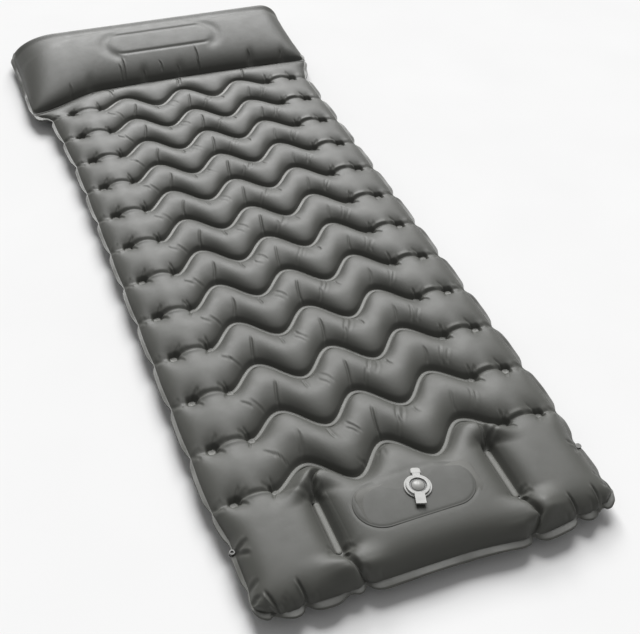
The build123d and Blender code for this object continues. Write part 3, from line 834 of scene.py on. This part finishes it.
whole = (-edge_u, edge_u)
tubes_foot = sheet_piece("tubes_foot_third", whole, (first_row, row_lines[4]))
tubes_middle = sheet_piece("tubes_middle_third", whole, (row_lines[4], row_lines[8]))
tubes_head = sheet_piece("tubes_head_third", whole, (row_lines[8], junction))
pillow_cover = sheet_piece("pillow_cover", whole, (junction, head_line))
left_wing = sheet_piece("left_foot_chamber", (-edge_u, -bar_x), (foot_line, first_row), True, 1)
right_wing = sheet_piece("right_foot_chamber", (bar_x, edge_u), (foot_line, first_row), True, -1)
pump_cover = sheet_piece("pump_cover", (-bar_x, bar_x), (foot_line, first_row), True)

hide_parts("body_top_skin")
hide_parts("pillow_skin")
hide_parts("left_foot_skin")
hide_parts("right_foot_skin")
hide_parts("pump_skirt", "pump_panel")


# ---- underside ----
under_gap = 0.0010          # the lower sheet stays this far off the floor
under_share = 1.25          # it bulges a little more than the upper one, until it meets the floor
under_rounding = 0.0015


def underside_points():
    """The lower sheet: it bulges down as the upper one does up, and lies on the floor."""
    lower = skin.copy()
    full = np.maximum(skin[..., 2], 0)
    deepest_drop = weld_z - under_gap
    drop = soft_least(under_share * full, deepest_drop, under_rounding)
    base = soft_least(0, deepest_drop, under_rounding)
    lower[..., 2] = weld_z - 0.0008 * (full > 0.0004) - np.maximum(drop - base, 0)
    return lower


under = underside_points()
underside = add_grid("underside", under, quads_of(*grid_u.shape)[:, ::-1])
# the underside takes the darker nylon: painted shade
finish_piece(underside, painted_shade_nylon)
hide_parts("bottom_skin")


# ---- welded rim ----
def rim_path():
    """The sheet's edge, once round, from the foot's left corner."""
    edge = [top[0, :], top[1:, -1], top[-1, -2::-1], top[-2:0:-1, 0]]
    return np.concatenate(edge)[:, :2]


def around(values, width):
    """Running average of a closed loop."""
    kernel = np.ones(width) / width
    wrapped = np.concatenate([values[-width:], values, values[:width]])
    averaged = [np.convolve(wrapped[:, i], kernel, "same") for i in range(values.shape[1])]
    return np.stack(averaged, 1)[width:-width]


path = rim_path()
ahead = around(np.roll(path, -1, 0) - np.roll(path, 1, 0), 9)
ahead /= np.linalg.norm(ahead, axis=1, keepdims=True)
outward = np.stack([ahead[:, 1], -ahead[:, 0]], 1)


pinch, pinch_half = 0.88, 0.015
head_notches = (-0.2, -0.05, 0.12, 0.24)


def pinch_share(points):
    """Little at the rim's notches, 1 well between them."""
    share = np.ones(len(points))
    notches = []
    for row in row_lines + [junction]:
        notches += [spot(side * edge_u, row) for side in (-1, 1)]
    for x in foot_notches + (-bar_x - 0.012,):
        notches.append(spot(x, foot_line))
    for side in (-1, 1):
        for v in side_notches + (socket_low.y + 0.02,):
            notches.append(spot(side * edge_u, v))
    for x in head_notches:
        notches.append(spot(x, head_line))
    for x, y in notches:
        gap = np.hypot(points[:, 0] - x, points[:, 1] - y)
        share *= 1 - pinch * bell(gap, pinch_half)
    return share


lobes = pinch_share(path)
travelled = np.cumsum(np.linalg.norm(np.diff(path, axis=0, prepend=path[:1]), axis=1))
ripple = 0.0010 * np.sin(travelled / 0.021) + 0.0003 * np.sin(travelled / 0.0075 + 1.3)
notch_tilt, foot_tilt, pillow_tilt = 0.0030, 0.0030, 0.0060    # how far the rim's outer edge hangs
rim_section = (   # share of the width, height in metres: top from the inside out, then underneath
    (-0.12, 0.0010), (0.04, 0.0002), (0.14, 0.0010), (0.66, 0.0009), (0.74, 0.0014), (0.86, 0.0013),
    (0.94, 0.0007), (1.0, 0.0), (0.88, -0.0010), (0.5, -0.0008), (-0.10, -0.0012),
)
rim_points = []
for share, lift in rim_section:
    width = side_rim + (rim_width - side_rim) * smooth((np.abs(outward[:, 1]) - 0.5) / 0.4)
    reach = share * width * (1 - pinch + pinch * lobes)
    flat = path + outward * reach[:, None]
    at_foot = smooth((-outward[:, 1] - 0.5) / 0.3)
    beside_pillow = smooth((path[:, 1] - junction - 0.02) / 0.03)
    beside_pillow *= smooth((0.8 - np.abs(outward[:, 1])) / 0.3)
    tilt = ripple - notch_tilt * (1 - lobes) - foot_tilt * at_foot - pillow_tilt * beside_pillow
    tilt = tilt * np.clip(share, 0, 1)
    rim_points.append(np.concatenate([flat, (weld_z + lift + tilt)[:, None]], 1))
rim_points = np.stack(rim_points, 1)
rim = add_grid("rim_seam", rim_points, quads_of(*rim_points.shape[:2], closed=True))
finish_piece(rim, rim_nylon)


# ---- weld strips, bars and spot welds ----
strip_lift = 0.0002         # strips and buttons stand this far off the weld plane
strip_section = ((-1.0, 0.0), (-0.82, 0.75), (-0.4, 0.95), (0.0, 1.0), (0.4, 0.95), (0.82, 0.75), (1.0, 0.0))


def strip_mesh(line, half, rise, points, faces):
    """Low rounded band along a line, with round ends."""
    line = np.array(line, float)
    direction = np.gradient(line, axis=0)
    direction /= np.linalg.norm(direction, axis=1, keepdims=True)
    side = np.stack([-direction[:, 1], direction[:, 0]], 1)
    first = sum(len(p) for p in points)
    caps = []
    for end, sign in ((0, -1), (-1, 1)):
        caps.append([(line[end] + sign * direction[end] * half * math.cos(turn), side[end],
                      max(half * math.sin(turn), 1e-5)) for turn in np.linspace(0, np.pi / 2, 6)[:-1]])
    body = [(line[i], side[i], half) for i in range(len(line))]
    stations = caps[0] + body + caps[1][::-1]
    made = []
    for centre, across, reach in stations:
        for share, lift in strip_section:
            place_xy = centre + across * share * reach
            lifted = rise * lift * min(1, reach / half + 0.15)
            made.append((place_xy[0], place_xy[1], weld_z + strip_lift + lifted))
    points.append(made)
    n = len(strip_section)
    for i in range(len(stations) - 1):
        for j in range(n - 1):
            a = first + i * n + j
            faces.append((a, a + n, a + n + 1, a + 1))


def ring_faces(first, rings, count):
    """Quads between closed rings of points that follow one another."""
    starts = [first + i * count for i in range(rings - 1)]
    pairs = [(a + j, a + (j + 1) % count) for a in starts for j in range(count)]
    return [(a, b, b + count, a + count) for a, b in pairs]


disc_section = ((1.0, 0.0), (0.88, 0.8), (0.6, 1.0), (0.3, 0.8))    # share of the radius and of the rise


def disc_mesh(centre, radius, rise, points, faces, wobble):
    """Low round button, its outline a little uneven."""
    first = sum(len(p) for p in points)
    around_count, made = 28, []
    for share, lift in disc_section:
        for i in range(around_count):
            a = 2 * math.pi * i / around_count
            uneven = wobble * math.sin(3 * a + centre[0] * 90) + 0.5 * wobble * math.sin(5 * a)
            r = radius * share * (1 + uneven)
            x, y = centre[0] + r * math.cos(a), centre[1] + r * math.sin(a)
            made.append((x, y, weld_z + strip_lift + rise * lift))
    made.append((centre[0], centre[1], weld_z + strip_lift + 0.7 * rise))
    points.append(made)
    faces += ring_faces(first, len(disc_section), around_count)
    last = first + (len(disc_section) - 1) * around_count
    faces += [(last + i, last + (i + 1) % around_count, last + around_count) for i in range(around_count)]


def mesh_piece(name, points, faces, material):
    obj = add_mesh(name, [p for group in points for p in group], faces)
    return finish_piece(obj, material)


row_points, bar_points, junction_points = 150, 24, 120
row_rise, bar_rise, junction_rise = 0.0009, 0.0012, 0.0004
end_rise, button_rise = 0.0014, 0.0016
end_wobble, button_wobble = 0.10, 0.05
junction_half = 0.0026

points, faces = [], []
for row in row_lines:
    across = np.linspace(-wave_end, wave_end, row_points)
    row_line = np.stack(place(across, row), 1)
    strip_mesh(row_line, weld_half, row_rise, points, faces)
    for side in (-1, 1):
        disc_mesh(spot(side * wave_end, row), end_radius, end_rise, points, faces, end_wobble)
# lighter weld colour: fused fabric and partly painted highlight
mesh_piece("weld_lines", points, faces, fused_and_highlit_weld_nylon)

points, faces = [], []
for row in row_lines:
    for side in (-1, 1):
        disc_mesh(spot(side * dot_x, row), dot_radius, button_rise, points, faces, button_wobble)
# the spot welds' light colour is fused fabric and partly painted highlight
mesh_piece("spot_welds", points, faces, fused_and_highlit_button_nylon)

points, faces = [], []
for side in (-1, 1):
    along = np.linspace(bar_foot_v + bar_half, bar_top_v - bar_half, bar_points)
    bar_line = np.stack(place(side * bar_x, along), 1)
    strip_mesh(bar_line, bar_half, bar_rise, points, faces)
# the bars take the same lighter weld colour: fused fabric and partly painted highlight
mesh_piece("weld_bars", points, faces, fused_and_highlit_weld_nylon)

points, faces = [], []
across = np.linspace(-edge_u, edge_u, junction_points)
junction_line = np.stack(place(across, junction), 1)
strip_mesh(junction_line, junction_half, junction_rise, points, faces)
# the junction weld takes the darker nylon: painted shade in the fold before the pillow
mesh_piece("junction_weld", points, faces, painted_shade_nylon)


# ---- foot pump: patch, foam and pouch ----
cover_tree = BVHTree.FromObject(pump_cover, bpy.context.evaluated_depsgraph_get())


def cover_height(x, y):
    hit = cover_tree.ray_cast(Vector((x, y, 0.3)), Vector((0, 0, -1)))
    return hit[0].z if hit[0] is not None else weld_z


patch_top = patch_high.z - panel_high.z
patch_gap = 0.0001
# inset and share of the thickness: a rounded edge and a stitched line beside it
rings = ((0.0, 0.0), (0.0002, 0.8), (0.0010, 1.0), (0.0022, 1.0), (0.0030, 0.72), (0.0038, 1.0)) + tuple(
    (inset, 1.0) for inset in np.linspace(0.008, patch_short - 0.0002, 12)
)
outline_count = 96
points, faces = [], ring_faces(0, len(rings), outline_count)
for inset, lift in rings:
    radius, reach = patch_short - inset, patch_long - patch_short
    made = []
    for i in range(outline_count):
        a = 2 * math.pi * (i + 0.5) / outline_count
        x = patch_cx + radius * math.cos(a) + math.copysign(reach, math.cos(a))
        y = patch_cy + radius * math.sin(a)
        made.append((x, y, cover_height(x, y) + patch_gap + patch_top * lift))
    points.append(made)
last = (len(rings) - 1) * outline_count
for j in range(outline_count // 2 - 1):
    faces.append((last + j, last + j + 1, last + outline_count - 2 - j, last + outline_count - 1 - j))
patch = mesh_piece("pump_patch", points, faces, patch_nylon)
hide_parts("valve_patch")


def soft_block(name, low, high, corner, bulge, material):
    """Closed rounded slab with slightly bulging sides."""
    size = high - low
    middle = (low + high) / 2
    # share of the height, and how far in from the bulging side
    levels = [(0.0, 0.006), (0.03, 0.003), (0.10, 0.001), (0.3, -bulge), (0.5, -1.3 * bulge),
              (0.7, -bulge), (0.90, 0.001), (0.97, 0.003), (1.0, 0.006)]
    count = 64
    made, made_faces = [], ring_faces(0, len(levels), count)
    for share, inset in levels:
        ring_points = []
        half_x, half_y = size.x / 2 - inset - bulge * 1.3, size.y / 2 - inset - bulge * 1.3
        for i in range(count):
            a = 2 * math.pi * (i + 0.5) / count
            c, s = math.cos(a), math.sin(a)
            x = math.copysign(half_x - corner, c) + corner * c
            y = math.copysign(half_y - corner, s) + corner * s
            ring_points.append((middle.x + x, middle.y + y, low.z + share * size.z))
        made.append(ring_points)
    made_faces.append(tuple(range(count - 1, -1, -1)))
    made_faces.append(tuple(range((len(levels) - 1) * count, len(levels) * count)))
    return mesh_piece(name, made, made_faces, material)


pump_foam = soft_block("pump_foam_block", foam_low, foam_high, 0.018, 0.002, foam)
pump_pouch = soft_block("pump_pouch_bag", pouch_low, pouch_high, 0.022, 0.0005, pouch_nylon)
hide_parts("pump_foam")
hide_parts("pump_pouch")

for piece in (pump_cover, patch):
    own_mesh(piece)
for piece, low, high in ((pump_foam, foam_low, foam_high), (pump_pouch, pouch_low, pouch_high)):
    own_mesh(piece)


# ---- CAD nodes that stay, with their materials ----
def paint(node, material):
    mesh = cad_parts[node].data
    if not mesh.materials:
        mesh.materials.append(material)
    for i in range(len(mesh.materials)):
        mesh.materials[i] = material


dome_radius, groove_radius = 0.0128, 0.0165    # measured from the middle of the cap's seal
# each cap gets painted shade, a dark ring, over its groove
for node in ("intake_cap", "release_cap"):
    seal_low, seal_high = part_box(f"{node}_seal")
    paint(node, cap_plastic(f"{node}_plastic", (seal_low + seal_high) / 2, dome_radius, groove_radius))
for material, nodes in ((off_white, "intake_base intake_grille release_base"),
                        (dark_plastic, "snap_socket socket_cap snap_stud stud_cap check_seat"),
                        (rubber, "intake_flap check_flap intake_cap_seal release_cap_seal")):
    for node in nodes.split():
        paint(node, material)


# ---- floor, light and camera ----
def floor_material():
    material, nodes, links, shader, where = new_material("studio_floor")
    mottle(nodes, links, where, shader.inputs["Base Color"], 3, 2, [(0.3, (0.86,) * 3), (0.7, (0.88,) * 3)])
    shader.inputs["Roughness"].default_value = 0.9
    shader.inputs["Specular IOR Level"].default_value = 0.1
    return material


floor_size = 30
floor_gap = 0.0005          # the floor lies just under the pad
floor_corners = [(x * floor_size, y * floor_size, 0) for x, y in ((-1, -1), (1, -1), (1, 1), (-1, 1))]
floor = add_mesh("floor", floor_corners, [(0, 1, 2, 3)])
floor.data.materials.append(floor_material())
floor.location.z = -floor_gap


def sun_light(name, toward, power, spread):
    """Even light from one side of the studio; spread is the softbox's angle in degrees."""
    light = bpy.data.lights.new(name, "SUN")
    light.energy = power
    light.angle = math.radians(spread)
    obj = add_object(name, light)
    obj.location = toward
    obj.rotation_euler = Vector(toward).to_track_quat("Z", "Y").to_euler()


sun_light("key", (0.35, 0.85, 0.80), 3.3, 40)
sun_light("back", (0.10, 1.00, 0.55), 0.9, 14)

world = bpy.data.worlds.new("studio")
world.use_nodes = True
background = world.node_tree.nodes["Background"]
background.inputs["Color"].default_value = (1, 1, 1, 1)
background.inputs["Strength"].default_value = 0.25
bpy.context.scene.world = world
bpy.context.scene.view_settings.view_transform = "Standard"

# the camera stands past the pad's foot, to its left, and looks along it and down
camera_place = Vector((-0.61934, -1.74297, 1.42436 + weld_z))
look = Vector((0.30287, 0.66886, -0.67889))
right = Vector((0.92634, -0.37401, 0.04477))
lens, sensor = 56.57, 36.0    # millimetres
camera_data = bpy.data.cameras.new("camera")
camera_data.lens = lens
camera_data.sensor_width = sensor
camera_data.sensor_fit = "HORIZONTAL"
camera = add_object("camera", camera_data)
back = -look.normalized()
right = (right - back * right.dot(back)).normalized()
camera_up = back.cross(right)
turn = Matrix((right, camera_up, back)).transposed().to_4x4()
camera.matrix_world = Matrix.Translation(camera_place) @ turn
bpy.context.scene.camera = camera
